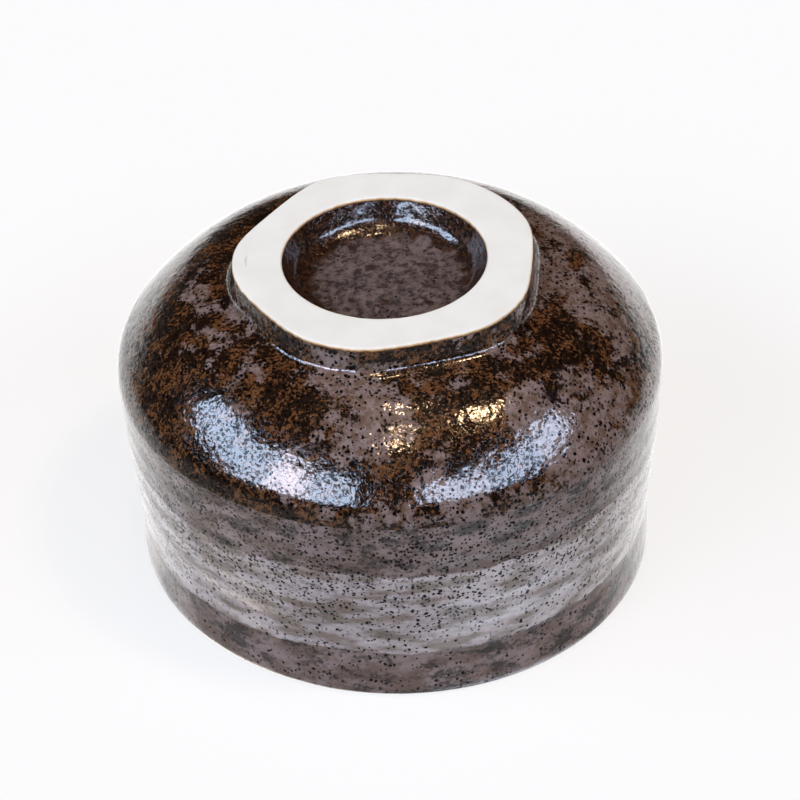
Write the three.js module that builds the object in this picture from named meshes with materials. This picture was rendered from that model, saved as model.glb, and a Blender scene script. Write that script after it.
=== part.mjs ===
// A matcha bowl: a thrown stoneware bowl on a pared foot ring, under several coats of glaze.
// It stands on its foot, mouth up. Every coat and the clay are turned from one shared outline,
// so each one follows its neighbour with an even gap.

import * as THREE from "three";

// Driving dimensions, in millimetres. Heights are measured up from the flat face of the foot.
const HEIGHT = 75.8;
const SHOULDER_RADIUS = 60.2;
const LIP_RADIUS = 57.9;
const LIP_THICKNESS = 3.6;
const LIP_ROUND = 1.4; // how wide and how high the lip's rounding is on the outside
const LIP_INNER_ROUND = 2.4; // how high it is on the inside
const WAIST_DEPTH = 0.8;
const WAIST_SKEW = 2.4; // above 1 moves the waist up, towards the lip
const WALL_BOTTOM = 26;
const WALL_TOP = HEIGHT - LIP_ROUND;
const BAND_BOTTOM = 40;
const BAND_TOP = 63.6;

const FOOT_RADIUS = 33.4;
const FOOT_FLARE = 0.9;
const COVE_BOTTOM = 4.4;
const WELL_RADIUS = 22.2;
const WELL_DEPTH = 7.1;
const WELL_DOME = 0.6;
const WELL_SHIFT = 0.4; // how far off the axis the well was cut
const FOOT_CHAMFER = 0.6;
const BARE_HEIGHT = 0.9; // how far the wiped clay shows above the foot's face
const JOINT_HEIGHT = 4; // where the foot ring meets the bowl

const COAT = 0.6;
const GAP = 0.25;

// Turning points of the outline, each a radius and a height.
const WELL_FLOOR_EDGE = [14, 7.1];
const WELL_FLOOR_CORNER = [18.4, 7.1];
const WELL_WALL_FOOT = [19.9, 4.8];
const COVE_CORNER = [34.8, 6.2];
const SLOPE_START = [38.5, 6.4];
const SLOPE_HANDLES = [[45.5, 7.3], [52.5, 13.5]];
const SLOPE_END = [57.9, 20.3];
const SHOULDER_CORNER = [60, 22.9];
const INNER_EDGE = [53.9, 70]; // where the coats of the rim and of the inside meet
const INNER_WALL = [[52.7, 60], [53.6, 44]];
const INNER_HIP = [52.8, 30];
const INNER_FLOOR = [[49.5, 21.4], [41.5, 16.2], [29, 14.3], [14, 13.7], [0, 13.4]];

// Marks of the hand: flats that the knife left round the foot, each at a bearing in degrees and at
// a distance from the axis, and a lip that is lower on the +X side than on the other.
const PARED_FLATS = [
  { bearing: 36, reach: 31.1 },
  { bearing: 94, reach: 32.1 },
  { bearing: 186, reach: 31.8 },
  { bearing: 256, reach: 31.9 },
  { bearing: 326, reach: 32.4 },
];
const FLAT_SHARPNESS = 30; // larger keeps the edges between flats crisper
const PARED_TOP = 12; // no paring reaches this height
const PARED_FADE_RADIUS = 48; // nor this far out on the underside
const LIP_DROP = 1.3;

const SEGMENTS = 48;

const FINISHES = {
  bareClay: { color: 0xeceae6, roughness: 0.85 },
  darkGlaze: { color: 0x3d2519, roughness: 0.22 },
  wellGlaze: { color: 0x4c3830, roughness: 0.25 },
  mauveGlaze: { color: 0x706260, roughness: 0.28 },
  whiteGlaze: { color: 0xa8a3a6, roughness: 0.32 },
  innerGlaze: { color: 0x7a6c69, roughness: 0.25 },
};

const at = (radius, height) => new THREE.Vector2(radius, height);

const bend = (steps, from, corner, to) =>
  new THREE.QuadraticBezierCurve(from, corner, to).getPoints(steps);

const sweep = (steps, ...points) =>
  new THREE.SplineCurve(points.map((point) => at(...point))).getPoints(steps);

// Puts runs of points end to end, leaving out the repeated point where two runs meet.
function chain(...runs) {
  const points = [];
  for (const point of runs.flat()) {
    if (!points.length || points.at(-1).distanceTo(point) > 1e-6) points.push(point);
  }
  return points;
}

// The outside radius of the glazed wall at a height between the shoulder and the lip.
function wallRadius(height) {
  const rise = (height - WALL_BOTTOM) / (WALL_TOP - WALL_BOTTOM);
  const taper = (SHOULDER_RADIUS - LIP_RADIUS) * rise;
  const waist = WAIST_DEPTH * Math.sin(Math.PI * rise ** WAIST_SKEW) ** 2;
  return SHOULDER_RADIUS - taper - waist;
}

function wallRun(from, to, steps) {
  const points = [];
  for (let step = 0; step <= steps; step++) {
    const height = from + ((to - from) * step) / steps;
    points.push(at(wallRadius(height), height));
  }
  return points;
}

// The runs below make up the glazed outline, walked with the clay always on the left hand:
// out along the foot's well, up the outside, over the lip and down the inside to the axis.

function wellRun() {
  const middle = at(0, WELL_DEPTH - WELL_DOME);
  const floorEdge = at(...WELL_FLOOR_EDGE);
  const floorCorner = at(...WELL_FLOOR_CORNER);
  return chain(
    bend(3, middle, at(floorEdge.x / 2, middle.y), floorEdge),
    bend(3, floorEdge, floorCorner, at(...WELL_WALL_FOOT)),
    [at(WELL_RADIUS, BARE_HEIGHT)],
  );
}

function baseRun() {
  const footTop = at(FOOT_RADIUS + FOOT_FLARE, COVE_BOTTOM);
  const slopePoints = [SLOPE_START, ...SLOPE_HANDLES, SLOPE_END].map((point) => at(...point));
  const slope = new THREE.CubicBezierCurve(...slopePoints);
  const wallStart = at(SHOULDER_RADIUS, WALL_BOTTOM - GAP);
  return chain(
    [at(FOOT_RADIUS, BARE_HEIGHT), footTop],
    bend(4, footTop, at(...COVE_CORNER), slopePoints[0]),
    slope.getPoints(6),
    bend(4, slopePoints.at(-1), at(...SHOULDER_CORNER), wallStart),
  );
}

function rimRun() {
  const crown = at(LIP_RADIUS - LIP_ROUND, HEIGHT);
  const innerRadius = LIP_RADIUS - LIP_THICKNESS;
  return chain(
    wallRun(BAND_TOP + GAP, WALL_TOP, 3),
    bend(3, at(LIP_RADIUS, WALL_TOP), at(LIP_RADIUS, HEIGHT), crown),
    bend(3, crown, at(innerRadius, HEIGHT), at(innerRadius, HEIGHT - LIP_INNER_ROUND)),
    [at(...INNER_EDGE)],
  );
}

function insideRun() {
  const [edgeRadius, edgeHeight] = INNER_EDGE;
  return chain(
    sweep(5, [edgeRadius, edgeHeight - GAP], ...INNER_WALL, INNER_HIP),
    sweep(9, INNER_HIP, ...INNER_FLOOR),
  );
}

// Moves a run towards the clay by a depth. A point on the axis stays on it.
function sink(run, depth) {
  return run.map((point, index) => {
    const ahead = run[Math.min(index + 1, run.length - 1)];
    const behind = run[Math.max(index - 1, 0)];
    const along = ahead.clone().sub(behind).normalize();
    if (point.x === 0) return at(0, point.y + depth * Math.sign(along.x));
    return at(point.x - depth * along.y, point.y + depth * along.x);
  });
}

// The point at a height on the line through two points.
function onLine(a, b, height) {
  return at(a.x + ((b.x - a.x) * (height - a.y)) / (b.y - a.y), height);
}

// The distance from the axis to the pared outline of the foot, on a bearing in radians.
function paredRadius(bearing) {
  let nearness = FOOT_RADIUS ** -FLAT_SHARPNESS;
  for (const flat of PARED_FLATS) {
    const facing = Math.cos(bearing - THREE.MathUtils.degToRad(flat.bearing));
    if (facing > 0) nearness += (facing / flat.reach) ** FLAT_SHARPNESS;
  }
  return nearness ** (-1 / FLAT_SHARPNESS);
}

// Gives a turned shape the marks of the hand, in place.
function workByHand(geometry) {
  const { smoothstep } = THREE.MathUtils;
  const position = geometry.getAttribute("position");
  const vertex = new THREE.Vector3();
  for (let index = 0; index < position.count; index++) {
    vertex.fromBufferAttribute(position, index);
    const radius = Math.hypot(vertex.x, vertex.y);
    const outwards = smoothstep(radius, WELL_RADIUS, FOOT_RADIUS);
    const fade = 1 - smoothstep(radius, FOOT_RADIUS + FOOT_FLARE, PARED_FADE_RADIUS);
    const low = 1 - smoothstep(vertex.z, JOINT_HEIGHT, PARED_TOP);
    const pared = paredRadius(Math.atan2(vertex.y, vertex.x)) / FOOT_RADIUS;
    const scale = 1 + (pared - 1) * outwards * fade * low;
    const shift = WELL_SHIFT * (1 - outwards) * low;
    const drop = (LIP_DROP * vertex.x * vertex.z) / (LIP_RADIUS * HEIGHT);
    position.setXYZ(index, vertex.x * scale + shift, vertex.y * scale, vertex.z - drop);
  }
  geometry.computeVertexNormals();
  return geometry;
}

function turned(name, profile, finish) {
  const geometry = new THREE.LatheGeometry(profile, SEGMENTS).rotateX(Math.PI / 2);
  const material = new THREE.MeshStandardMaterial({ ...finish, metalness: 0 });
  const mesh = new THREE.Mesh(workByHand(geometry), material);
  mesh.name = name;
  return mesh;
}

// A skin of glaze on one run of the outline. A run that touches the axis makes a profile that
// starts and ends there, and any other run makes a closed loop.
function coat(name, run, finish) {
  const back = sink(run, COAT).reverse();
  if (run[0].x === 0) return turned(name, [...run, ...back], finish);
  if (run.at(-1).x === 0) return turned(name, [...back, ...run], finish);
  return turned(name, [...run, ...back, run[0]], finish);
}

function build() {
  const well = wellRun();
  const base = baseRun();
  const wall = wallRun(WALL_BOTTOM, BAND_BOTTOM - GAP, 3);
  const band = wallRun(BAND_BOTTOM, BAND_TOP, 5);
  const rim = rimRun();
  const inside = insideRun();

  const clayDepth = COAT + GAP;
  const wellClay = sink(well, clayDepth);
  const outerClay = sink(chain(base, wall, band, rim, inside), clayDepth);
  const [footLow, footHigh] = outerClay;
  const [wellHigh, wellLow] = wellClay.slice(-2);

  const bowlSeat = JOINT_HEIGHT + GAP / 2;
  const bowlProfile = [
    ...wellClay.filter((point) => point.y > bowlSeat),
    onLine(wellLow, wellHigh, bowlSeat),
    onLine(footLow, footHigh, bowlSeat),
    ...outerClay.filter((point) => point.y > bowlSeat),
  ];

  const ringTop = JOINT_HEIGHT - GAP / 2;
  const ledge = BARE_HEIGHT - GAP;
  const ringProfile = [
    at(WELL_RADIUS + FOOT_CHAMFER, 0),
    at(FOOT_RADIUS - FOOT_CHAMFER, 0),
    at(FOOT_RADIUS, FOOT_CHAMFER),
    at(FOOT_RADIUS, ledge),
    onLine(footLow, footHigh, ledge),
    onLine(footLow, footHigh, ringTop),
    onLine(wellLow, wellHigh, ringTop),
    onLine(wellLow, wellHigh, ledge),
    at(WELL_RADIUS, ledge),
    at(WELL_RADIUS, FOOT_CHAMFER),
    at(WELL_RADIUS + FOOT_CHAMFER, 0),
  ];

  const bowl = new THREE.Group();
  bowl.add(
    turned("clay_bowl", bowlProfile, FINISHES.bareClay),
    turned("foot_ring", ringProfile, FINISHES.bareClay),
    coat("foot_well_glaze", well, FINISHES.wellGlaze),
    coat("base_glaze", base, FINISHES.darkGlaze),
    coat("wall_glaze", wall, FINISHES.mauveGlaze),
    coat("white_band", band, FINISHES.whiteGlaze),
    coat("rim_glaze", rim, FINISHES.mauveGlaze),
    coat("inner_glaze", inside, FINISHES.innerGlaze),
  );
  return bowl;
}

export default build();
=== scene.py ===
"""A matcha bowl: thrown stoneware on a hand-pared foot, under dipped, brushed and poured glaze.

The bowl stands on its foot, mouth up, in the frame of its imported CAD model. The camera looks at
it from below with its head turned over, so the picture shows the bowl resting on its lip.
"""

import logging
import math
from collections.abc import Sequence
from dataclasses import dataclass, field
from enum import Enum
from typing import Any

import bpy
from mathutils import Matrix, Vector


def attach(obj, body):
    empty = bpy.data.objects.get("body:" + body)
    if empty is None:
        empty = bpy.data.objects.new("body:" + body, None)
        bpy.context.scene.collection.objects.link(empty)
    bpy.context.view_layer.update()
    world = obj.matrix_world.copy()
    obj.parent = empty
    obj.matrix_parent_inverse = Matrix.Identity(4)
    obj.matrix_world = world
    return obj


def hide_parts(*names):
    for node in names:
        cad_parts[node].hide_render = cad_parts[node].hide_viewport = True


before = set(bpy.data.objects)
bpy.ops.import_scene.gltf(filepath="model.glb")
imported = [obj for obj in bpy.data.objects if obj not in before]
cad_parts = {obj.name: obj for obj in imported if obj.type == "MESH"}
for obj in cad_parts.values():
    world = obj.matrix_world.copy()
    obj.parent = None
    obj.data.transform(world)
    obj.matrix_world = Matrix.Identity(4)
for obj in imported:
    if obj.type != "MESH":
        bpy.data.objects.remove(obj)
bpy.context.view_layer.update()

LOG = logging.getLogger("matcha_bowl")

MM = 0.001
BODY = "root"
CLAY_IOR = 1.45
GLAZE_IOR = 1.65
SPECK_ROUGHNESS = 0.12
SPECK_SPECULAR = 0.18

Point = tuple[float, float]
Colour = tuple[int, int, int]


def linear(colour: Colour) -> tuple[float, float, float, float]:
    """Turns a colour of 0 to 255 a channel into the linear one that shaders take.

    Args:
        colour: Red, green and blue as a paint chart gives them.

    Returns:
        Linear red, green, blue and an alpha of 1.
    """
    channels = []
    for level in colour:
        share = level / 255
        straight = share / 12.92 if share <= 0.04045 else ((share + 0.055) / 1.055) ** 2.4
        channels.append(straight)
    return (channels[0], channels[1], channels[2], 1.0)


def added(name: str, data: bpy.types.ID) -> bpy.types.Object:
    """Puts a new object into the scene, at the origin."""
    made = bpy.data.objects.new(name, data)
    bpy.context.scene.collection.objects.link(made)
    return made


# ---------------------------------------------------------------------------
# Node trees written as Python expressions
# ---------------------------------------------------------------------------


class Value:
    """A number socket. Operators on it add Math nodes to its sheet."""

    def __init__(self, sheet: "Sheet", socket: bpy.types.NodeSocket) -> None:
        """Wraps one output socket of a sheet."""
        self.sheet = sheet
        self.socket = socket

    def _math(self, operation: str, *operands: "Value | float") -> "Value":
        """Adds one Math node.

        Args:
            operation: The Math node's operation.
            *operands: Its inputs, in order.

        Returns:
            The node's result.
        """
        made = self.sheet.node("ShaderNodeMath", {"operation": operation}, dict(enumerate(operands)))
        return Value(self.sheet, made.outputs[0])

    def __add__(self, other: "Value | float") -> "Value":
        """self + other."""
        return self._math("ADD", self, other)

    def __radd__(self, other: float) -> "Value":
        """other + self."""
        return self._math("ADD", other, self)

    def __sub__(self, other: "Value | float") -> "Value":
        """self - other."""
        return self._math("SUBTRACT", self, other)

    def __rsub__(self, other: float) -> "Value":
        """other - self."""
        return self._math("SUBTRACT", other, self)

    def __mul__(self, other: "Value | float") -> "Value":
        """self * other."""
        return self._math("MULTIPLY", self, other)

    def __rmul__(self, other: float) -> "Value":
        """other * self."""
        return self._math("MULTIPLY", other, self)

    def __truediv__(self, other: "Value | float") -> "Value":
        """self / other."""
        return self._math("DIVIDE", self, other)

    def __rtruediv__(self, other: float) -> "Value":
        """other / self."""
        return self._math("DIVIDE", other, self)

    def __pow__(self, other: "Value | float") -> "Value":
        """self ** other."""
        return self._math("POWER", self, other)

    def __mod__(self, other: "Value | float") -> "Value":
        """self % other, for values that aren't negative."""
        return self._math("MODULO", self, other)

    def __neg__(self) -> "Value":
        """-self."""
        return self._math("MULTIPLY", self, -1.0)

    def sin(self) -> "Value":
        """The sine of self, in radians."""
        return self._math("SINE", self)

    def cos(self) -> "Value":
        """The cosine of self, in radians."""
        return self._math("COSINE", self)

    def floor(self) -> "Value":
        """self rounded down."""
        return self._math("FLOOR", self)

    def arcsin(self) -> "Value":
        """The angle whose sine is self."""
        return self._math("ARCSINE", self)

    def bearing(self, along: "Value") -> "Value":
        """The angle of the direction with self across and along ahead, in radians."""
        return self._math("ARCTAN2", self, along)

    def size(self) -> "Value":
        """self without its sign."""
        return self._math("ABSOLUTE", self)

    def largest(self, other: "Value | float") -> "Value":
        """The larger of self and other."""
        return self._math("MAXIMUM", self, other)

    def rise(self, low: float, high: float) -> "Value":
        """A soft step, which runs from 0 to 1 as self runs from low to high.

        Args:
            low: Where the result is 0.
            high: Where the result is 1. It may lie below low.

        Returns:
            The step.
        """
        settings = {"interpolation_type": "SMOOTHSTEP"}
        sockets = {"Value": self, "From Min": low, "From Max": high}
        made = self.sheet.node("ShaderNodeMapRange", settings, sockets)
        return Value(self.sheet, made.outputs[0])

    def within(self, low: float, high: float, soft: float) -> "Value":
        """1 where self is from low to high, with a soft edge that reaches soft to each side."""
        return self.rise(low - soft, low + soft) * self.rise(high + soft, high - soft)


class Sheet:
    """A node tree with one method that adds any node."""

    def __init__(self, tree: bpy.types.NodeTree) -> None:
        """Takes over a tree and empties it."""
        self.tree = tree
        tree.nodes.clear()

    def node(
        self,
        kind: str,
        settings: dict[str, Any] | None = None,
        sockets: dict[str | int, Any] | None = None,
    ) -> bpy.types.Node:
        """Adds a node.

        Args:
            kind: The node's type.
            settings: The node's own properties, such as a Math node's operation, set first.
            sockets: Values or links of its inputs, by name or number.

        Returns:
            The node.
        """
        made = self.tree.nodes.new(kind)
        for key, setting in (settings or {}).items():
            setattr(made, key, setting)
        for key, given in (sockets or {}).items():
            target = made.inputs[key]
            source = given.socket if isinstance(given, Value) else given
            if isinstance(source, bpy.types.NodeSocket):
                self.tree.links.new(source, target)
            else:
                target.default_value = source
        return made

    def value(self, socket: bpy.types.NodeSocket) -> Value:
        """Wraps a socket so that operators work on it."""
        return Value(self, socket)

    def split(self, vector: Any) -> tuple[Value, Value, Value]:
        """The three parts of a vector."""
        parts = self.node("ShaderNodeSeparateXYZ", None, {0: vector}).outputs
        return self.value(parts[0]), self.value(parts[1]), self.value(parts[2])

    def join(self, x: Any, y: Any, z: Any) -> bpy.types.NodeSocket:
        """A vector made of three numbers."""
        return self.node("ShaderNodeCombineXYZ", None, {0: x, 1: y, 2: z}).outputs[0]

    def vector(self, operation: str, *operands: Any) -> bpy.types.NodeSocket:
        """Adds one Vector Math node.

        Args:
            operation: The node's operation. SCALE takes a vector and then a number.
            *operands: Vectors, or for SCALE a vector and a number.

        Returns:
            The vector that comes out.
        """
        places = (0, 3) if operation == "SCALE" else (0, 1, 2)
        sockets = dict(zip(places, operands))
        return self.node("ShaderNodeVectorMath", {"operation": operation}, sockets).outputs[0]


class ShaderSheet(Sheet):
    """The node tree of a material, with the patterns that glazes share."""

    def __init__(self, name: str) -> None:
        """Makes a material and starts its tree at object coordinates in millimetres."""
        self.material = bpy.data.materials.new(name)
        self.material.use_nodes = True
        super().__init__(self.material.node_tree)
        coordinates = self.node("ShaderNodeTexCoord").outputs["Object"]
        self.place = self.vector("SCALE", coordinates, 1 / MM)
        self.x, self.y, self.height = self.split(self.place)

    def mix(
        self,
        factor: Value | float,
        first: Colour | bpy.types.NodeSocket,
        second: Colour | bpy.types.NodeSocket,
    ) -> bpy.types.NodeSocket:
        """Blends two colours.

        Args:
            factor: 0 for the first and 1 for the second.
            first: A colour of 0 to 255 a channel, or a socket.
            second: The same for the other end.

        Returns:
            The blended colour.
        """
        settings = {"data_type": "RGBA", "clamp_factor": True}
        start, end = (linear(paint) if isinstance(paint, tuple) else paint for paint in (first, second))
        return self.node("ShaderNodeMix", settings, {0: factor, 6: start, 7: end}).outputs[2]

    def _noise(self, point: bpy.types.NodeSocket, scale: float, detail: float, lean: float) -> Value:
        """Adds one Noise node."""
        sockets = {"Vector": point, "Scale": scale, "Detail": detail, "Roughness": lean}
        return self.value(self.node("ShaderNodeTexNoise", None, sockets).outputs["Fac"])

    def noise(self, size: float, detail: float = 2.0, lean: float = 0.5) -> Value:
        """Soft noise in round lumps.

        Args:
            size: The width of its largest lumps, in millimetres.
            detail: How many finer layers it has.
            lean: How strong each finer layer is beside the one before.

        Returns:
            Values round 0.5, mostly from 0.3 to 0.7.
        """
        return self._noise(self.place, 1 / size, detail, lean)

    def streaks(
        self,
        sideways: float,
        upwards: float,
        detail: float = 2.0,
        lean: float = 0.5,
        shift: float = 0.0,
    ) -> Value:
        """Soft noise in lumps that are wide or tall.

        Args:
            sideways: The lumps' width across the pot, in millimetres.
            upwards: Their height up the pot, in millimetres.
            detail: How many finer layers there are.
            lean: How strong each finer layer is beside the one before.
            shift: Moves the pattern, so that two layers don't line up.

        Returns:
            Values round 0.5, mostly from 0.3 to 0.7.
        """
        scaled = self.vector("MULTIPLY", self.place, (1 / sideways, 1 / sideways, 1 / upwards))
        shifted = self.vector("ADD", scaled, (shift, shift * 0.7, -shift * 0.4))
        return self._noise(shifted, 1.0, detail, lean)

    def specks(self, spacing: float, radius: float, share: Value | float, shift: float = 0.0) -> Value:
        """Small ragged spots, scattered unevenly.

        Args:
            spacing: Millimetres from one spot's place to the next.
            radius: A spot's largest radius in millimetres.
            share: The share of places that hold a spot, from 0 to 1.
            shift: Moves the pattern, so that two layers don't line up.

        Returns:
            1 inside a spot and 0 outside.
        """
        sockets = {"Vector": self.place, "Scale": 2.4 / spacing, "Detail": 2.0}
        jitter = self.node("ShaderNodeTexNoise", None, sockets).outputs["Color"]
        pushed = self.vector("SCALE", self.vector("SUBTRACT", jitter, (0.5, 0.5, 0.5)), spacing * 0.8)
        where = self.vector("ADD", self.vector("ADD", self.place, pushed), (shift, -shift, shift * 0.6))
        cells = self.node("ShaderNodeTexVoronoi", None, {"Vector": where, "Scale": 1 / spacing})
        reach = self.value(cells.outputs["Distance"]) * spacing
        luck, size, _ = self.split(cells.outputs["Color"])
        kept = (share - luck).rise(-0.02, 0.02)
        return (reach / (0.55 + 0.45 * size)).rise(radius * 1.15, radius * 0.8) * kept

    def wrinkles(self, size: float) -> Value:
        """Thin branching creases in the glaze.

        Args:
            size: The width of the smooth plates between creases, in millimetres.

        Returns:
            1 in a crease and 0 on the plates.
        """
        wave = self.noise(size, 1.0) - 0.5
        return wave.size().rise(0.035, 0.008)

    def finish(
        self,
        colour: Any,
        roughness: Value | float,
        relief: Value,
        spots: Value | None = None,
        spot_colour: Colour = (8, 6, 5),
    ) -> bpy.types.Material:
        """Ends the tree: bare clay in one shader, and glaze in two, the gloss and its dull specks.

        Args:
            colour: The surface's colour.
            roughness: The surface's roughness.
            relief: The height of the fine surface, in millimetres.
            spots: 1 where a speck lies and 0 elsewhere. None makes bare clay.
            spot_colour: The specks' colour.

        Returns:
            The material.
        """
        bump = self.node("ShaderNodeBump", None, {"Distance": MM, "Height": relief}).outputs[0]
        ior = CLAY_IOR if spots is None else GLAZE_IOR
        sockets = {"Base Color": colour, "Roughness": roughness, "Normal": bump, "IOR": ior}
        surface = self.node("ShaderNodeBsdfPrincipled", None, sockets).outputs[0]
        if spots is not None:
            dull = {
                "Base Color": linear(spot_colour),
                "Roughness": SPECK_ROUGHNESS,
                "Specular IOR Level": SPECK_SPECULAR,
                "Normal": bump,
            }
            speck = self.node("ShaderNodeBsdfPrincipled", None, dull).outputs[0]
            surface = self.node("ShaderNodeMixShader", None, {0: spots, 1: surface, 2: speck}).outputs[0]
        self.node("ShaderNodeOutputMaterial", None, {"Surface": surface})
        return self.material


# ---------------------------------------------------------------------------
# The turned outline
# ---------------------------------------------------------------------------


def bend(*handles: Point, steps: int = 24) -> list[Point]:
    """A curve that heads from each handle for the next, and touches only the first and the last.

    Args:
        *handles: Where it starts, one or two points that it leans towards, and where it ends.
        steps: How many straight steps stand for it.

    Returns:
        Its points.
    """
    last = len(handles) - 1
    points = []
    for step in range(steps + 1):
        t = step / steps
        shares = [math.comb(last, k) * (1 - t) ** (last - k) * t**k for k in range(last + 1)]
        points.append(blend_points(shares, handles))
    return points


def sweep(*through: Point, steps: int = 16) -> list[Point]:
    """A smooth curve through points.

    Args:
        *through: The points.
        steps: How many straight steps stand for the curve between each two.

    Returns:
        The curve's points.
    """
    points = [through[0]]
    for index in range(len(through) - 1):
        before = through[max(index - 1, 0)]
        start, end = through[index], through[index + 1]
        after = through[min(index + 2, len(through) - 1)]
        for step in range(1, steps + 1):
            t = step / steps
            shares = (
                (-t + 2 * t**2 - t**3) / 2,
                (2 - 5 * t**2 + 3 * t**3) / 2,
                (t + 4 * t**2 - 3 * t**3) / 2,
                (-(t**2) + t**3) / 2,
            )
            points.append(blend_points(shares, (before, start, end, after)))
    return points


def blend_points(shares: Sequence[float], points: Sequence[Point]) -> Point:
    """The sum of points, each times its share.

    Args:
        shares: The shares.
        points: The points, in the same order.

    Returns:
        The sum.
    """
    radius = sum(share * point[0] for share, point in zip(shares, points))
    height = sum(share * point[1] for share, point in zip(shares, points))
    return (radius, height)


def even(run: list[Point], spacing: float) -> list[Point]:
    """Walks a run again in equal steps.

    Args:
        run: Points of the run.
        spacing: The length of a step, or a little less, so that the last one ends at the end.

    Returns:
        The new points.
    """
    lengths = [math.dist(a, b) for a, b in zip(run, run[1:])]
    total = sum(lengths)
    count = max(1, math.ceil(total / spacing))
    points = [run[0]]
    index, passed = 0, 0.0
    for step in range(1, count):
        wanted = total * step / count
        while passed + lengths[index] < wanted:
            passed += lengths[index]
            index += 1
        t = (wanted - passed) / lengths[index]
        points.append(blend_points((1 - t, t), (run[index], run[index + 1])))
    return [*points, run[-1]]


def tight(run: list[Point], distance: float) -> list[Point]:
    """Adds a point close to each end of a run, which keeps the shading crisp at a coat's edges.

    Args:
        run: The run.
        distance: How far from the ends the new points lie.

    Returns:
        The run with the new points.
    """
    first = distance / math.dist(run[0], run[1])
    last = distance / math.dist(run[-1], run[-2])
    after_start = blend_points((1 - first, first), (run[0], run[1]))
    before_end = blend_points((1 - last, last), (run[-1], run[-2]))
    return [run[0], after_start, *run[1:-1], before_end, run[-1]]


def sink(run: list[Point], depth: float) -> list[Point]:
    """Moves a run towards the clay, which lies on its left hand. Points on the axis stay on it.

    Args:
        run: The run.
        depth: How far it moves.

    Returns:
        The moved run.
    """
    sunk = []
    for index, (radius, height) in enumerate(run):
        behind = run[max(index - 1, 0)]
        ahead = run[min(index + 1, len(run) - 1)]
        length = math.dist(behind, ahead)
        along = ((ahead[0] - behind[0]) / length, (ahead[1] - behind[1]) / length)
        if radius == 0:
            sunk.append((0.0, height + math.copysign(depth, along[0])))
        else:
            sunk.append((radius - depth * along[1], height + depth * along[0]))
    return sunk


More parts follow.
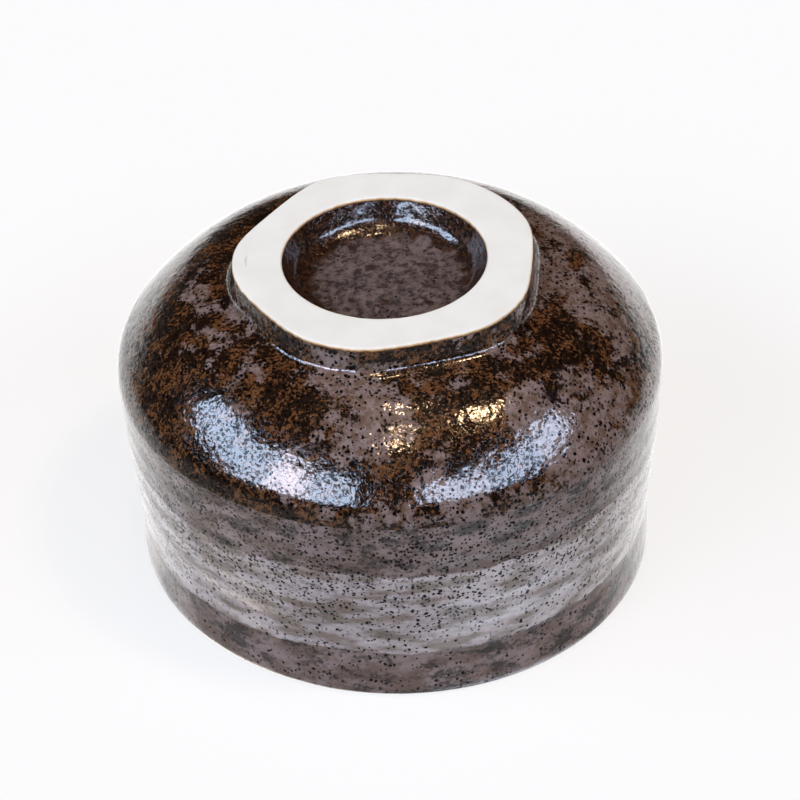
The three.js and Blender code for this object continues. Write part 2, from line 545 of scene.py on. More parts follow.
@dataclass(frozen=True)
class Outline:
    """The shared outline of clay and glaze, in metres: radius from the axis, height from the foot.

    Each run is walked with the clay on the left hand.
    """

    height: float = 75.8 * MM
    shoulder_radius: float = 60.2 * MM
    lip_radius: float = 57.9 * MM
    lip_thickness: float = 3.6 * MM
    lip_round: float = 1.4 * MM
    lip_inner_round: float = 2.4 * MM
    waist_depth: float = 0.8 * MM
    waist_skew: float = 2.4
    wall_bottom: float = 26 * MM
    band_bottom: float = 40 * MM
    band_top: float = 63.6 * MM
    foot_radius: float = 33.4 * MM
    foot_flare: float = 0.9 * MM
    cove_bottom: float = 4.4 * MM
    well_radius: float = 22.2 * MM
    well_depth: float = 7.1 * MM
    well_dome: float = 0.6 * MM
    foot_chamfer: float = 0.6 * MM
    bare_height: float = 0.9 * MM

    @property
    def wall_top(self) -> float:
        """The height where the lip's rounding starts on the outside."""
        return self.height - self.lip_round

    def wall_radius(self, height: float) -> float:
        """The outside radius of the glazed wall.

        Args:
            height: A height between shoulder and lip.

        Returns:
            The radius there.
        """
        rise = (height - self.wall_bottom) / (self.wall_top - self.wall_bottom)
        taper = (self.shoulder_radius - self.lip_radius) * rise
        waist = self.waist_depth * math.sin(math.pi * rise**self.waist_skew) ** 2
        return self.shoulder_radius - taper - waist

    def wall(self, low: float, high: float, steps: int = 40) -> list[Point]:
        """A stretch of the wall.

        Args:
            low: The height that it starts at.
            high: The height that it ends at.
            steps: How many straight steps stand for it.

        Returns:
            Its points, from low to high.
        """
        heights = [low + (high - low) * step / steps for step in range(steps + 1)]
        return [(self.wall_radius(height), height) for height in heights]

    def well(self) -> list[Point]:
        """Inside the foot, from the axis out to the edge of the bare clay."""
        deep, dome = self.well_depth, self.well_dome
        step_start = (10.4 * MM, deep - dome * 0.35)
        step_corner = (11.4 * MM, deep - dome * 0.3)
        step_end = (12.3 * MM, deep + 0.02 * MM)
        floor = sweep((0.0, deep - dome), (5 * MM, deep - dome * 0.85), step_start)
        step = bend(step_start, step_corner, step_end, steps=8)
        rest = bend(step_end, (17.8 * MM, deep + 0.35 * MM), (20.1 * MM, 4.4 * MM))
        return [*floor, *step[1:], *rest[1:], (self.well_radius, self.bare_height)]

    def base(self) -> list[Point]:
        """From the bare clay up the foot, out along the underside and round the shoulder."""
        foot_top = (self.foot_radius + self.foot_flare, self.cove_bottom)
        slope_start = (38.5 * MM, 6.4 * MM)
        slope_end = (57.9 * MM, 20.3 * MM)
        cove = bend(foot_top, (foot_top[0] + 0.5 * MM, 6.2 * MM), slope_start)
        leans = ((45.5 * MM, 7.3 * MM), (52.5 * MM, 13.5 * MM))
        slope = bend(slope_start, *leans, slope_end, steps=48)
        shoulder = bend(slope_end, (60 * MM, 22.9 * MM), (self.shoulder_radius, self.wall_bottom))
        return [(self.foot_radius, self.bare_height), *cove, *slope[1:], *shoulder[1:]]

    def rim(self) -> list[Point]:
        """From the band up the wall, over the lip and a little way in."""
        outside = (self.lip_radius, self.wall_top)
        crown = (self.lip_radius - self.lip_round, self.height)
        inside = (self.lip_radius - self.lip_thickness, self.height - self.lip_inner_round)
        over = bend(outside, (outside[0], self.height), crown, steps=12)
        back = bend(crown, (inside[0], self.height), inside, steps=12)
        return [*self.wall(self.band_top, self.wall_top), *over[1:], *back[1:], self.inner_edge()]

    def inner_edge(self) -> Point:
        """Where the rim's glaze meets the inside's."""
        return (53.9 * MM, 70 * MM)

    def inside(self) -> list[Point]:
        """Down the inside wall and across the floor to the axis."""
        wall = ((52.7 * MM, 60 * MM), (53.6 * MM, 44 * MM), (52.8 * MM, 30 * MM))
        corner = ((49.5 * MM, 21.4 * MM), (41.5 * MM, 16.2 * MM))
        floor = ((29 * MM, 14.3 * MM), (14 * MM, 13.7 * MM), (0.0, 13.4 * MM))
        return sweep(self.inner_edge(), *wall, *corner, *floor)


# ---------------------------------------------------------------------------
# The wheel: turns a profile and gives it the marks of the hand
# ---------------------------------------------------------------------------


@dataclass(frozen=True)
class Marks:
    """What the hand and the kiln leave on one turned piece, in metres."""

    relief: float
    relief_size: float = 1.8 * MM
    rings: float = 0.04 * MM
    rounds: int = 640


@dataclass(frozen=True)
class Paring:
    """One flat that the knife left on the foot."""

    bearing: float
    reach: float


@dataclass
class Wheel:
    """Turns profiles with one Geometry Nodes tree, so that every layer carries the same marks."""

    outline: Outline
    parings: tuple[Paring, ...] = (
        Paring(36, 31.1 * MM),
        Paring(94, 32.1 * MM),
        Paring(186, 31.8 * MM),
        Paring(256, 31.9 * MM),
        Paring(326, 32.4 * MM),
    )
    crispness: float = 30.0
    pared_top: float = 12 * MM
    pared_fade_radius: float = 48 * MM
    joint_height: float = 4 * MM
    lip_drop: float = 1.3 * MM
    well_shift: float = 0.4 * MM
    sway: float = 0.2 * MM
    ring_pitch: float = 6.5 * MM
    merge: float = 1e-6
    tree: bpy.types.NodeTree = field(init=False)

    def __post_init__(self) -> None:
        """Builds the tree once."""
        self.tree = bpy.data.node_groups.new("thrown_form", "GeometryNodeTree")
        self._add_interface()
        self._build()

    def _add_interface(self) -> None:
        """Gives the tree its named inputs and its output."""
        add = self.tree.interface.new_socket
        add("Profile", in_out="INPUT", socket_type="NodeSocketGeometry")
        for name in ("Relief", "Relief Size", "Ring Height"):
            add(name, in_out="INPUT", socket_type="NodeSocketFloat")
        add("Rounds", in_out="INPUT", socket_type="NodeSocketInt")
        add("Finish", in_out="INPUT", socket_type="NodeSocketMaterial")
        add("Piece", in_out="OUTPUT", socket_type="NodeSocketGeometry")

    def _pared(self, sheet: Sheet, bearing: Value) -> Value:
        """The pared foot's radius on a bearing, as a share of the uncut radius.

        Args:
            sheet: The tree's sheet.
            bearing: The bearing in radians.

        Returns:
            1 where the foot is uncut, and less over a flat.
        """
        nearness = bearing * 0.0 + 1.0
        for paring in self.parings:
            facing = (bearing - math.radians(paring.bearing)).cos().largest(0.0)
            cut = facing * (self.outline.foot_radius / paring.reach)
            nearness = nearness + cut**self.crispness
        return nearness ** (-1 / self.crispness)

    def _build(self) -> None:
        """Adds the nodes: a grid wrapped round the axis, then shaped, closed and roughened."""
        sheet = Sheet(self.tree)
        given = sheet.node("NodeGroupInput").outputs
        counted = sheet.node("GeometryNodeAttributeDomainSize", None, {0: given["Profile"]})
        steps = sheet.value(counted.outputs["Point Count"])
        rounds = sheet.value(given["Rounds"])
        sizes = {"Vertices X": rounds + 1, "Vertices Y": steps}
        grid = sheet.node("GeometryNodeMeshGrid", None, sizes).outputs[0]

        index = sheet.value(sheet.node("GeometryNodeInputIndex").outputs[0])
        bearing = (index / steps + 0.001).floor() / rounds * math.tau
        here = sheet.node("GeometryNodeInputPosition").outputs[0]
        sampling = {"Geometry": given["Profile"], "Value": here, "Index": index % steps}
        sampled = sheet.node("GeometryNodeSampleIndex", {"data_type": "FLOAT_VECTOR"}, sampling)
        radius, _, height = sheet.split(sampled.outputs[0])

        outline = self.outline
        outwards = radius.rise(outline.well_radius, outline.foot_radius)
        kept_in = radius.rise(self.pared_fade_radius, outline.foot_radius + outline.foot_flare)
        low = height.rise(self.pared_top, self.joint_height)
        scale = 1 + (self._pared(sheet, bearing) - 1) * outwards * kept_in * low

        swayed = (bearing * 2 + 0.6).sin() * 0.6 + (bearing * 3 + 2.1).sin() * 0.4
        raised = height.rise(10 * MM, 32 * MM)
        drift = (bearing + 1.0).sin() * 1.3 + (bearing * 2 + 0.4).sin() * 0.7
        ringing = (height * (math.tau / self.ring_pitch) + drift).sin()
        on_wall = height.rise(24 * MM, 34 * MM) * height.rise(outline.height, outline.wall_top)
        swell = swayed * raised * self.sway + ringing * on_wall * sheet.value(given["Ring Height"])

        turned_radius = radius * scale + swell * radius.rise(10 * MM, 45 * MM)
        x = turned_radius * bearing.cos() + self.well_shift * (1 - outwards) * low
        y = turned_radius * bearing.sin()
        drop = x * height * (self.lip_drop / (outline.lip_radius * outline.height))
        shaped = sheet.node(
            "GeometryNodeSetPosition",
            None,
            {"Geometry": grid, "Position": sheet.join(x, y, height - drop)},
        ).outputs[0]
        closed = sheet.node(
            "GeometryNodeMergeByDistance", None, {"Geometry": shaped, "Distance": self.merge}
        ).outputs[0]

        lumps = sheet.node(
            "ShaderNodeTexNoise",
            None,
            {"Vector": here, "Scale": 1 / sheet.value(given["Relief Size"]), "Detail": 2.0},
        )
        lift = (sheet.value(lumps.outputs["Fac"]) - 0.5) * 4 * sheet.value(given["Relief"])
        normal = sheet.node("GeometryNodeInputNormal").outputs[0]
        roughened = sheet.node(
            "GeometryNodeSetPosition",
            None,
            {"Geometry": closed, "Offset": sheet.vector("SCALE", normal, lift)},
        ).outputs[0]
        smooth = sheet.node("GeometryNodeSetShadeSmooth", None, {"Geometry": roughened}).outputs[0]
        real = sheet.node("GeometryNodeRealizeInstances", None, {"Geometry": smooth}).outputs[0]
        dressing = {"Geometry": real, "Material": given["Finish"]}
        dressed = sheet.node("GeometryNodeSetMaterial", None, dressing).outputs[0]
        sheet.node("NodeGroupOutput", None, {0: dressed})

    def turn(
        self, name: str, profile: list[Point], marks: Marks, finish: bpy.types.Material
    ) -> bpy.types.Object:
        """Turns one piece.

        Args:
            name: The piece's name.
            profile: Its section, walked with the clay on the left hand.
            marks: What the hand and the kiln leave on it.
            finish: Its material.

        Returns:
            A plain mesh object at the origin.
        """
        section = bpy.data.meshes.new(name + "_section")
        edges = [(index, index + 1) for index in range(len(profile) - 1)]
        section.from_pydata([(radius, 0.0, height) for radius, height in profile], edges, [])
        blank = added(name + "_blank", section)
        modifier = blank.modifiers.new("wheel", "NODES")
        modifier.node_group = self.tree
        wanted = {
            "Relief": marks.relief,
            "Relief Size": marks.relief_size,
            "Ring Height": marks.rings,
            "Rounds": marks.rounds,
            "Finish": finish,
        }
        for item in self.tree.interface.items_tree:
            if item.in_out == "INPUT" and item.name in wanted:
                modifier[item.identifier] = wanted[item.name]
        evaluated = blank.evaluated_get(bpy.context.evaluated_depsgraph_get())
        mesh = bpy.data.meshes.new_from_object(evaluated)
        mesh.name = name
        piece = added(name, mesh)
        blank.modifiers.remove(modifier)
        bpy.data.objects.remove(blank)
        return piece


# ---------------------------------------------------------------------------
# Finishes
# ---------------------------------------------------------------------------


@dataclass(frozen=True)
class BareClay:
    """Fired stoneware with no glaze: matte, off-white, toasted where glaze begins."""

    name: str
    outline: Outline
    clay: Colour = (210, 213, 204)
    shade: Colour = (206, 208, 198)
    toast: Colour = (190, 154, 108)
    burnt: Colour = (112, 72, 40)
    scratch: Colour = (150, 128, 100)
    scratch_radius: float = 30.4 * MM
    grain_size: float = 0.35

    def _scratch(self, sheet: ShaderSheet, grain: Value) -> Value:
        """One faint scratch near the edge of the flat face.

        Args:
            sheet: The material's sheet.
            grain: The clay's grain, which breaks it up.

        Returns:
            1 in the scratch and 0 elsewhere.
        """
        across = (sheet.x - self.scratch_radius / MM + sheet.y * sheet.y * 0.05).size()
        return across.rise(0.3, 0.05) * sheet.y.within(-1.6, 1.8, 1.2) * grain.rise(0.35, 0.55)

    def material(self) -> bpy.types.Material:
        """Builds the material."""
        sheet = ShaderSheet(self.name)
        cloud = sheet.noise(9.0, 3.0).rise(0.35, 0.7)
        body = sheet.mix(cloud, self.clay, self.shade)
        grain = sheet.noise(self.grain_size, 3.0, 0.6)
        edge_noise = sheet.noise(1.6, 2.0) - 0.5
        edge = self.outline.bare_height / MM
        level = sheet.height * (1 + edge_noise * 2.0)
        warmed = sheet.mix(level.rise(edge * 0.03, edge * 0.4), body, self.toast)
        toasted = sheet.mix(level.rise(edge * 0.35, edge * 0.9), warmed, self.burnt)
        colour = sheet.mix(self._scratch(sheet, grain) * 0.6, toasted, self.scratch)
        relief = grain * 0.012 + sheet.noise(2.5, 2.0) * 0.03
        return sheet.finish(colour, 0.82 - 0.1 * grain, relief)


@dataclass(frozen=True)
class IronGlaze:
    """Dark chocolate glaze with rust, mauve-grey veils, dense black specks, and creases with painted
    shade.
    """

    name: str
    chocolate: Colour = (24, 13, 7)
    rust: Colour = (90, 58, 33)
    veil: Colour = (116, 101, 96)
    tan: Colour = (90, 72, 60)
    speck: Colour = (6, 4, 3)
    grain_size: float = 0.9
    clump_size: float = 4.5
    mottle_size: float = 2.2
    veil_size: float = 13.0
    veil_lean: float = -0.0016
    crease_size: float = 1.3

    def _ground(
        self, sheet: ShaderSheet, clumps: Value, mottle: Value
    ) -> tuple[bpy.types.NodeSocket, Value]:
        """The glaze without its specks.

        Args:
            sheet: The material's sheet.
            clumps: Where the black gathers, round 0.
            mottle: Small soft patches, which tint the veils.

        Returns:
            The colour, and how thickly it is veiled from 0 to 1.
        """
        grains = sheet.noise(self.grain_size, 4.0, 0.75)
        rusty = (grains + clumps * 0.6).rise(0.48, 0.6)
        dark = sheet.mix(rusty, self.chocolate, self.rust)
        pale = sheet.mix(mottle, self.veil, self.tan)
        drift = sheet.noise(self.veil_size, 5.0, 0.66)
        towards_pale_side = sheet.x * self.veil_lean
        veiled = (drift + towards_pale_side + (grains - 0.5) * 0.15).rise(0.505, 0.56)
        return sheet.mix(veiled * 0.95, dark, pale), veiled

    def material(self) -> bpy.types.Material:
        """Builds the material."""
        sheet = ShaderSheet(self.name)
        clumps = sheet.noise(self.clump_size, 3.0, 0.6) - 0.5
        mottle = sheet.noise(self.mottle_size, 3.0, 0.65).rise(0.42, 0.62)
        ground, veiled = self._ground(sheet, clumps, mottle)
        many = 0.6 - veiled * 0.1 - clumps
        bold = sheet.specks(1.0, 0.48, many)
        fine = sheet.specks(0.75, 0.34, many * 0.6, 31.0)
        # Painted shade: the creases are real, but their darkness is painted as dark dull lines like the
        # specks, in place of the shade their relief would give.
        creases = sheet.wrinkles(self.crease_size) * (0.8 - 0.4 * veiled)
        specks_and_crease_shade = bold.largest(fine).largest(creases)
        relief = (
            sheet.noise(2.4, 1.0) * 0.07
            + sheet.noise(1.0, 1.0) * 0.04
            + sheet.noise(0.55, 0.0) * 0.009
            - specks_and_crease_shade * 0.008
        )
        return sheet.finish(ground, 0.04 + 0.05 * mottle, relief, specks_and_crease_shade, self.speck)


@dataclass(frozen=True)
class MauveGlaze:
    """Mauve-brown glaze with grey clouds, and white brushed round it in a band."""

    name: str
    outline: Outline
    mauve: Colour = (97, 79, 69)
    lilac: Colour = (127, 109, 103)
    grey: Colour = (36, 30, 28)
    white: Colour = (180, 168, 163)
    dry: Colour = (124, 109, 96)
    speck: Colour = (9, 8, 8)
    edge: Colour = (58, 32, 16)
    cloud_width: float = 8.0
    streak_width: float = 20.0
    streak_height: float = 1.3
    ragged: float = 1.8
    sway: float = 5.0

    def _ground(self, sheet: ShaderSheet) -> bpy.types.NodeSocket:
        """The mauve with its clouds, under everything else."""
        soft = sheet.streaks(9.0, 5.0, 4.0, 0.65).rise(0.42, 0.62)
        ground = sheet.mix(soft, self.mauve, self.lilac)
        clouds = sheet.streaks(self.cloud_width, self.cloud_width / 2, 5.0, 0.68, shift=7.0)
        grain = sheet.noise(0.9, 2.0, 0.7) - 0.5
        shaded = (clouds + grain * 0.35).rise(0.46, 0.62)
        return sheet.mix(shaded * 0.88, ground, self.grey)

    def _band(self, sheet: ShaderSheet) -> Value:
        """1 inside the white band and 0 outside, with a swaying and ragged edge."""
        sway = (sheet.streaks(22.0, 90.0, 2.0) - 0.5) * self.sway
        ragged = (sheet.streaks(3.0, 1.2, 3.0, 0.65) - 0.5) * self.ragged
        level = sheet.height + sway + ragged
        return level.within(self.outline.band_bottom / MM, self.outline.band_top / MM, 0.25)

    def _brushed(self, sheet: ShaderSheet) -> tuple[Value, bpy.types.NodeSocket]:
        """The white that is brushed on.

        Args:
            sheet: The material's sheet.

        Returns:
            How much white lies at each place, and the white's own colour.
        """
        streaks = sheet.streaks(self.streak_width, self.streak_height, 4.0, 0.6, shift=3.0)
        broad = sheet.streaks(11.0, 4.0, 4.0, 0.65, shift=11.0)
        grain = sheet.noise(1.0, 2.0, 0.7)
        worn = sheet.height.within(52.0, 57.0, 4.0) * 0.045
        thick = (streaks * 0.2 + broad * 0.45 + grain * 0.35 - worn).rise(0.41, 0.55)
        hue = sheet.streaks(9.0, 3.0, 3.0, shift=5.0).rise(0.42, 0.62)
        coat = sheet.mix(hue, self.white, self.dry)
        laid_on = sheet.x.rise(45.0, -45.0)
        return self._band(sheet) * (0.45 + 0.35 * thick + 0.18 * laid_on), coat

    def _spots(self, sheet: ShaderSheet) -> Value:
        """The black specks, which thin out towards the lip."""
        crowd = sheet.noise(7.0, 2.0).rise(0.35, 0.6)
        fewer = sheet.height.rise(42.0, 66.0) * 0.55
        bold = sheet.specks(1.1, 0.44, 0.4 + 0.6 * crowd - fewer)
        return bold.largest(sheet.specks(0.85, 0.34, 0.75 - fewer, 17.0))

    def material(self) -> bpy.types.Material:
        """Builds the material."""
        sheet = ShaderSheet(self.name)
        ground = self._ground(sheet)
        cover, coat = self._brushed(sheet)
        brushed = sheet.mix(cover, ground, coat)
        bottom = self.outline.wall_bottom / MM
        wander = (sheet.noise(3.0, 3.0) - 0.5) * 4.0
        rusted = (sheet.height + wander).rise(bottom + 0.5, bottom - 0.3)
        edged = sheet.mix(rusted * 0.85, brushed, self.edge)
        spots = self._spots(sheet)
        relief = (
            sheet.noise(1.8, 2.0) * 0.055
            + sheet.streaks(9.0, 0.8, 2.0) * 0.008
            - spots * 0.015
        )
        roughness = 0.17 + 0.16 * sheet.noise(4.0, 2.0)
        return sheet.finish(edged, roughness, relief, spots, self.speck)


@dataclass(frozen=True)
class WellGlaze:
    """Brown glaze inside the foot, rusty round the foot of its wall."""

    name: str
    outline: Outline
    floor: Colour = (98, 86, 81)
    shadow: Colour = (50, 42, 39)
    rust: Colour = (60, 36, 20)
    dark: Colour = (24, 14, 10)
    speck: Colour = (10, 7, 6)
    step_shade_radius: float = 11.1 * MM
    wall_reach: float = 7.5 * MM

    def _ground(self, sheet: ShaderSheet, grains: Value, on_wall: Value) -> bpy.types.NodeSocket:
        """The glaze without its specks.

        Args:
            sheet: The material's sheet.
            grains: The grain that breaks up the rust.
            on_wall: 0 on the floor and 1 on the wall.

        Returns:
            The colour.
        """
        cloud = sheet.noise(1.9, 4.0, 0.72).rise(0.38, 0.62)
        floor = sheet.mix(cloud, self.floor, self.shadow)
        wall = sheet.mix(grains, self.dark, self.rust)
        burnt = sheet.noise(4.5, 3.0, 0.6).rise(0.58, 0.68) * 0.7
        # Painted shade: a darker ring on the floor over the turned step, where the step's shade falls.
        ring = self.step_shade_radius / MM
        turned = self._radius(sheet).within(ring - 0.4, ring + 0.4, 0.7) * 0.45
        step_shaded_floor = sheet.mix(turned, floor, self.shadow)
        return sheet.mix(on_wall.largest(burnt), step_shaded_floor, wall)

    @staticmethod
    def _radius(sheet: ShaderSheet) -> Value:
        """The distance from the axis, in millimetres."""
        return (sheet.x * sheet.x + sheet.y * sheet.y) ** 0.5

    def material(self) -> bpy.types.Material:
        """Builds the material."""
        sheet = ShaderSheet(self.name)
        grains = sheet.noise(1.0, 3.0, 0.7).rise(0.44, 0.62)
        wander = (sheet.noise(4.0, 3.0, 0.65) - 0.5) * 9.0
        wall_start = (self.outline.well_radius - self.wall_reach) / MM
        on_wall = (self._radius(sheet) + wander).rise(wall_start, wall_start + 3.0)
        ground = self._ground(sheet, grains, on_wall)
        spots = sheet.specks(0.95, 0.32, 0.3 + 0.5 * on_wall)
        bumps = sheet.noise(2.6, 2.0) * 0.11
        relief = bumps - sheet.wrinkles(1.6) * 0.01 - spots * 0.015
        return sheet.finish(ground, 0.1 + 0.1 * grains, relief, spots, self.speck)


@dataclass(frozen=True)
class PooledGlaze:
    """The coat poured inside: mauve on the wall, darker where it pools."""

    name: str
    wall: Colour = (84, 72, 68)
    lilac: Colour = (104, 93, 92)
    pool: Colour = (50, 35, 27)
    speck: Colour = (22, 19, 18)
    pool_rim: float = 24 * MM
    pool_shore: float = 15 * MM

    def material(self) -> bpy.types.Material:
        """Builds the material."""
        sheet = ShaderSheet(self.name)
        soft = sheet.streaks(9.0, 5.0, 4.0, 0.6, shift=4.0).rise(0.42, 0.62)
        wall = sheet.mix(soft, self.wall, self.lilac)
        wander = (sheet.noise(10.0, 4.0) - 0.5) * 9.0
        pooled = (sheet.height + wander).rise(self.pool_rim / MM, self.pool_shore / MM)
        ground = sheet.mix(pooled * 0.8, wall, self.pool)
        spots = sheet.specks(0.95, 0.34, 0.35 + 0.4 * pooled)
        relief = sheet.noise(1.8, 2.0) * 0.07 - spots * 0.015
        return sheet.finish(ground, 0.14 + 0.1 * soft, relief, spots, self.speck)


Finish = IronGlaze | MauveGlaze | WellGlaze | PooledGlaze


# ---------------------------------------------------------------------------
# Sub-assemblies
# ---------------------------------------------------------------------------


def settle(piece: bpy.types.Object, node: str) -> None:
    """Puts a piece in the place of a CAD node.

    Args:
        piece: The finished piece.
        node: The CAD node that it stands for.
    """
    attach(piece, BODY)
    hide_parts(node)
    LOG.info("%s stands for %s: %d faces", piece.name, node, len(piece.data.polygons))


@dataclass
class ClayBody:
    """The thrown bowl and the ring that it stands on."""

    wheel: Wheel
    depth: float = 0.65 * MM
    spacing: float = 2.0 * MM
    ring_spacing: float = 0.5 * MM
    joint_gap: float = 0.05 * MM
    inset: float = 0.02 * MM
    well_lean: float = 1.2 * MM

    def build(self) -> None:
        """Makes both pieces."""
        outline = self.wheel.outline
        finish = BareClay("bare_clay", outline).material()
        self._bowl(outline, finish)
        self._ring(outline, finish)

    def _bowl(self, outline: Outline, finish: bpy.types.Material) -> None:
        """Makes the bowl's clay, which the coats hide.

        Args:
            outline: The outline that it is turned to.
            finish: Its material.
        """
        joint = self.wheel.joint_height + self.joint_gap
        wall = outline.wall(outline.wall_bottom, outline.band_top)
        well = even(outline.well(), self.spacing)
        outer = even([*outline.base(), *wall[1:]], self.spacing)
        inner = even([*outline.rim(), *outline.inside()[1:]], self.spacing)
        well_clay = [point for point in sink(well, self.depth) if point[1] > joint]
        outer_clay = [point for point in sink([*outer, *inner[1:]], self.depth) if point[1] > joint]
        profile = [
            *well_clay,
            (well_clay[-1][0], joint),
            (outer_clay[0][0], joint),
            *outer_clay,
        ]
        marks = Marks(relief=0.0, rounds=240)
        settle(self.wheel.turn("thrown_clay_body", profile, marks, finish), "clay_bowl")

    def _ring(self, outline: Outline, finish: bpy.types.Material) -> None:
        """Makes the foot ring, whose flat face and edges are bare.

        Args:
            outline: The outline that it is turned to.
            finish: Its material.
        """
        top, bare = self.wheel.joint_height, outline.bare_height
        chamfer, inset = outline.foot_chamfer, self.inset
        inner, outer = outline.well_radius, outline.foot_radius
        flat = even([(inner + chamfer, 0.0), (outer - chamfer, 0.0)], self.ring_spacing)
        edge = bend(flat[-1], (outer, 0.0), (outer, chamfer), steps=6)
        outer_top = (outer - self.depth * 0.6, top)
        inner_top = (inner - self.well_lean + self.depth, top)
        outside = [(outer - inset, bare), (outer - self.depth, bare), outer_top]
        inside = [inner_top, (inner + self.depth, bare), (inner + inset, bare)]
        back = bend((inner, chamfer), (inner, 0.0), (inner + chamfer, 0.0), steps=6)
        profile = [*flat, *edge[1:], *outside, *inside, *back]
        marks = Marks(relief=0.012 * MM, relief_size=2.4 * MM, rings=0.0)
        settle(self.wheel.turn("pared_foot_ring", profile, marks, finish), "foot_ring")


@dataclass(frozen=True)
class Coat:
    """One coat of glaze: its name, the CAD node that it stands for, a slot name that nothing reads, and
    where it lies.
    """

    name: str
    node: str
    slot: str
    run: list[Point]
    finish: Finish
    spacing: float = 0.5 * MM
    marks: Marks = Marks(relief=0.025 * MM, relief_size=2.0 * MM)


@dataclass
class Coats:
    """Every coat of glaze, each one a thin closed skin over the clay."""

    wheel: Wheel
    thickness: float = 0.6 * MM
    back_spacing: float = 2.5 * MM
    edge: float = 0.03 * MM
    inner_spacing: float = 1.0 * MM

    def _skin(self, run: list[Point], spacing: float) -> list[Point]:
        """The section of a coat on one run of the outline.

        Args:
            run: The run, walked with the clay on the left hand.
            spacing: The step along the coat's face.

        Returns:
            A closed section, or one that starts and ends on the axis.
        """
        face = tight(even(run, spacing), self.edge)
        back = sink(even(run, self.back_spacing), self.thickness)[::-1]
        if run[0][0] == 0:
            return [*face, *back]
        if run[-1][0] == 0:
            return [*back, *face]
        return [*face, *back, face[0]]

    def _lay(self, coat: Coat) -> None:
        """Turns one coat and settles it."""
        section = self._skin(coat.run, coat.spacing)
        finish = coat.finish.material()
        settle(self.wheel.turn(coat.name, section, coat.marks, finish), coat.node)

    def build(self) -> None:
        """Makes all six coats."""
        outline = self.wheel.outline
        wall = outline.wall(outline.wall_bottom, outline.band_bottom)
        band = outline.wall(outline.band_bottom, outline.band_top)
        iron = IronGlaze("iron_glaze")
        mauve = MauveGlaze("mauve_wall", outline)
        white = MauveGlaze("white_band", outline)
        lip = MauveGlaze("mauve_rim", outline)
        pooled = PooledGlaze("pooled_glaze")
        well = WellGlaze("foot_well", outline)
        inner_step = self.inner_spacing
        self._lay(Coat("iron_base_coat", "base_glaze", "dark_glaze", outline.base(), iron))
        self._lay(Coat("mauve_wall_coat", "wall_glaze", "mauve_glaze", wall, mauve))
        self._lay(Coat("brushed_white_band", "white_band", "white_glaze", band, white))
        self._lay(Coat("mauve_rim_coat", "rim_glaze", "mauve_glaze", outline.rim(), lip))
        inside = outline.inside()
        self._lay(Coat("poured_inner_coat", "inner_glaze", "inner_glaze", inside, pooled, inner_step))
        self._lay(Coat("foot_well_coat", "foot_well_glaze", "well_glaze", outline.well(), well))


# ---------------------------------------------------------------------------
# Studio
# ---------------------------------------------------------------------------


class Facing(Enum):
    """Which way a floor shows its face."""

    UP = "up"
    DOWN = "down"


@dataclass(frozen=True)
class Window:
    """A bright patch of the room, placed by bearing from the camera's side and by elevation."""

    left: float
    right: float
    low: float
    high: float
    colour: Colour
    strength: float


@dataclass(frozen=True)
class Lamp:
    """A small round lamp, far off in a direction that the turned-over camera sees as x, y and z."""

    direction: tuple[float, float, float]
    radius: float
    colour: Colour
    strength: float


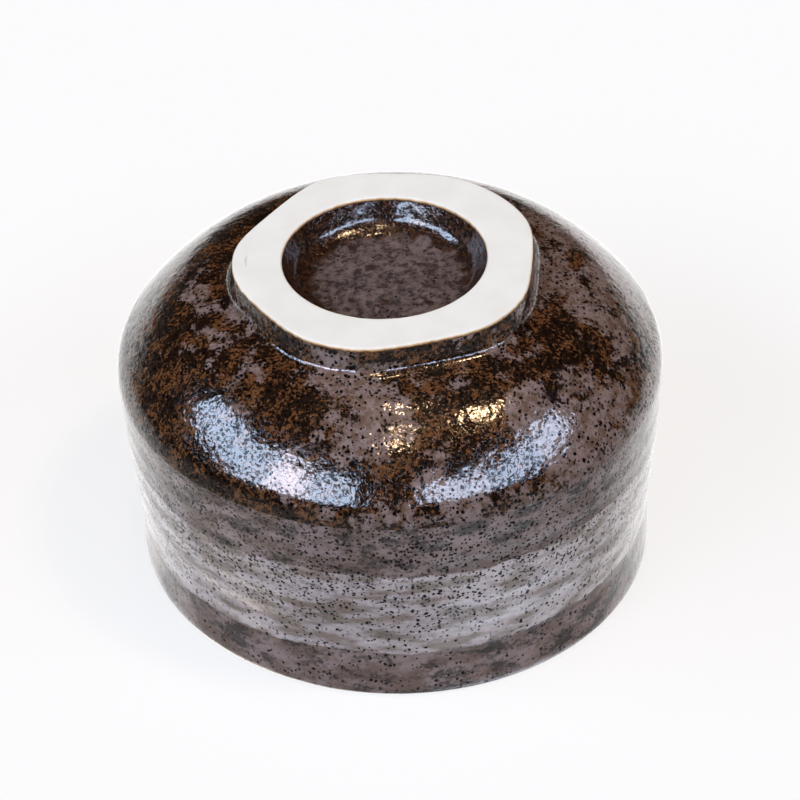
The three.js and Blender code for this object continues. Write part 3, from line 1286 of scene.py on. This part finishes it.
@dataclass
class Studio:
    """Light, floors and camera. Angles are in degrees, as the turned-over camera sees them."""

    outline: Outline
    lip_drop: float
    table_front: float = 0.3
    table_back: float = 1.7
    table_edge: tuple[float, float] = (5, -6)
    room: Colour = (255, 240, 222)
    room_light: float = 0.02
    ceiling_light: float = 0.1
    lamp_softness: float = 0.0006
    window_softness: tuple[float, float] = (1.5, 1.0)
    windows: tuple[Window, ...] = (
        Window(-99, -58, 26, 41, (204, 224, 255), 12.0),
        Window(-58, -17, 26, 43.5, (204, 224, 255), 12.0),
        Window(12, 84, 29, 40, (206, 224, 255), 11.0),
        Window(-54, -36, 28, 42, (255, 210, 196), 6.0),
        Window(-165, -75, -72, -52, (255, 244, 232), 3.0),
        Window(20, 110, -72, -52, (232, 240, 255), 2.5),
    )
    lamps: tuple[Lamp, ...] = (
        Lamp((0.054, 0.15, 0.987), 2.2, (255, 213, 168), 55.0),
        Lamp((0.054, -0.25, 0.966), 3.4, (255, 213, 168), 34.0),
        Lamp((0.02, -0.45, 0.893), 3.0, (255, 213, 168), 32.0),
        Lamp((0.419, -0.118, 0.903), 3.6, (255, 213, 168), 42.0),
    )
    camera_elevation: float = 38.66
    camera_roll: float = 2.12
    camera_distance: float = 0.65
    focal_length: float = 130.6
    sensor_width: float = 36
    clip: tuple[float, float] = (0.01, 20)
    aim_height: float = 37.5 * MM
    aim_sideways: float = 1.88 * MM
    aim_upwards: float = -1.83 * MM
    floor_gap: float = 0.1 * MM
    floor_reach: float = 3.0
    turned_floor_reach: float = 0.6
    floor_colour: tuple[float, float, float, float] = (0.18, 0.18, 0.175, 1.0)
    floor_glow: float = 0.74

    def build(self) -> None:
        """Makes the light, the floors and the camera."""
        self._light()
        self._floor(Facing.UP)
        self._floor(Facing.DOWN)
        self._camera()
        view = bpy.context.scene.view_settings
        view.view_transform = "Standard"
        view.look = "None"

    def _light(self) -> None:
        """Lights the world: a white table, and a dim room with windows and lamps round it."""
        world = bpy.data.worlds.new("studio")
        bpy.context.scene.world = world
        world.use_nodes = True
        sheet = Sheet(world.node_tree)
        direction = sheet.node("ShaderNodeTexCoord").outputs["Generated"]
        x, y, z = sheet.split(direction)
        elevation = (-z).arcsin() * math.degrees(1)
        bearing = (-x).bearing(-y) * math.degrees(1)
        table = elevation.rise(*self.table_edge)
        spread = self.table_back - self.table_front
        table_light = table * (self.table_front + spread * y.rise(0.0, 0.6))
        room_light = (1 - table) * (self.room_light + self.ceiling_light * elevation.rise(55, 80))
        lit = [table_light + room_light * share for share in linear(self.room)[:3]]
        soft_across, soft_upwards = self.window_softness
        for window in self.windows:
            across = bearing.within(window.left, window.right, soft_across)
            upwards = elevation.within(window.low, window.high, soft_upwards)
            self._add(lit, across * upwards * window.strength, window.colour)
        for lamp in self.lamps:
            aside, ahead, above = lamp.direction
            nearness = -x * aside + y * ahead - z * above
            edge = math.cos(math.radians(lamp.radius))
            disc = nearness.rise(edge - self.lamp_softness, edge + self.lamp_softness)
            self._add(lit, disc * lamp.strength, lamp.colour)
        red, green, blue = lit
        tinted = sheet.node("ShaderNodeCombineColor", None, {0: red, 1: green, 2: blue}).outputs[0]
        seen = sheet.value(sheet.node("ShaderNodeLightPath").outputs["Is Camera Ray"])
        light = sheet.node("ShaderNodeBackground", None, {"Color": tinted}).outputs[0]
        paper = sheet.node("ShaderNodeBackground", None, {"Color": (1.0, 1.0, 1.0, 1.0)}).outputs[0]
        mixed = sheet.node("ShaderNodeMixShader", None, {0: seen, 1: light, 2: paper}).outputs[0]
        sheet.node("ShaderNodeOutputWorld", None, {"Surface": mixed})

    @staticmethod
    def _add(lit: list[Value], amount: Value, colour: Colour) -> None:
        """Adds light to the world.

        Args:
            lit: The world's red, green and blue so far, which it changes.
            amount: How much light falls from each direction.
            colour: The light's colour.
        """
        for channel, share in enumerate(linear(colour)[:3]):
            lit[channel] = lit[channel] + amount * share

    def _floor(self, facing: Facing) -> None:
        """Lays a floor that only the camera sees, and only from its own side.

        Args:
            facing: Up for the one under the foot, down for the one against the lip.
        """
        name = "floor_" + facing.value
        reach = self.floor_reach if facing is Facing.UP else self.turned_floor_reach
        mesh = bpy.data.meshes.new(name)
        corners = [(-reach, -reach, 0), (reach, -reach, 0), (reach, reach, 0), (-reach, reach, 0)]
        mesh.from_pydata(corners, [], [(0, 1, 2, 3)])
        floor = added(name, mesh)
        if facing is Facing.DOWN:
            tilt = math.atan2(self.lip_drop, self.outline.lip_radius)
            turned_over = Matrix.Rotation(tilt, 4, "Y") @ Matrix.Rotation(math.pi, 4, "X")
            lip = self.outline.height + self.floor_gap
            mesh.transform(Matrix.Translation((0, 0, lip)) @ turned_over)
        else:
            mesh.transform(Matrix.Translation((0, 0, -self.floor_gap)))
        mesh.materials.append(self._paper(facing))
        floor.visible_diffuse = False
        floor.visible_glossy = False
        floor.visible_transmission = False
        floor.visible_shadow = False

    def _paper(self, facing: Facing) -> bpy.types.Material:
        """Pale paper, clear from behind. The one facing down shows only through the other's back.

        Args:
            facing: The floor that it is for.

        Returns:
            The material.
        """
        material = bpy.data.materials.new("paper_" + facing.value)
        material.use_nodes = True
        sheet = Sheet(material.node_tree)
        hidden = sheet.value(sheet.node("ShaderNodeNewGeometry").outputs["Backfacing"])
        if facing is Facing.DOWN:
            passed = sheet.value(sheet.node("ShaderNodeLightPath").outputs["Transparent Depth"])
            hidden = hidden.largest(passed.rise(0.6, 0.4))
        matte = sheet.node("ShaderNodeBsdfDiffuse", None, {"Color": self.floor_colour}).outputs[0]
        glow = sheet.node("ShaderNodeEmission", None, {"Strength": self.floor_glow}).outputs[0]
        sheet_of_paper = sheet.node("ShaderNodeAddShader", None, {0: matte, 1: glow}).outputs[0]
        clear = sheet.node("ShaderNodeBsdfTransparent").outputs[0]
        sockets = {0: hidden, 1: sheet_of_paper, 2: clear}
        mixed = sheet.node("ShaderNodeMixShader", None, sockets).outputs[0]
        sheet.node("ShaderNodeOutputMaterial", None, {"Surface": mixed})
        return material

    def _camera(self) -> None:
        """Looks up at the foot with its head turned over."""
        data = bpy.data.cameras.new("camera")
        data.lens = self.focal_length
        data.sensor_width = self.sensor_width
        data.clip_start, data.clip_end = self.clip
        camera = added("camera", data)
        tilt = math.radians(self.camera_elevation)
        roll = math.radians(self.camera_roll)
        level = Vector((-1, 0, 0))
        upright = Vector((0, math.sin(tilt), -math.cos(tilt)))
        back = level.cross(upright)
        right = level * math.cos(roll) - upright * math.sin(roll)
        up = level * math.sin(roll) + upright * math.cos(roll)
        middle = Vector((0, 0, self.aim_height))
        aim = middle + right * self.aim_sideways + up * self.aim_upwards
        turn = Matrix((right, up, back)).transposed().to_4x4()
        camera.matrix_world = Matrix.Translation(aim + back * self.camera_distance) @ turn
        bpy.context.scene.camera = camera


def main() -> None:
    """Builds the studio, the clay and the coats."""
    logging.basicConfig(level=logging.INFO, format="%(name)s: %(message)s")
    outline = Outline()
    wheel = Wheel(outline)
    Studio(outline, wheel.lip_drop).build()
    ClayBody(wheel).build()
    Coats(wheel).build()


if __name__ == "__main__":
    main()
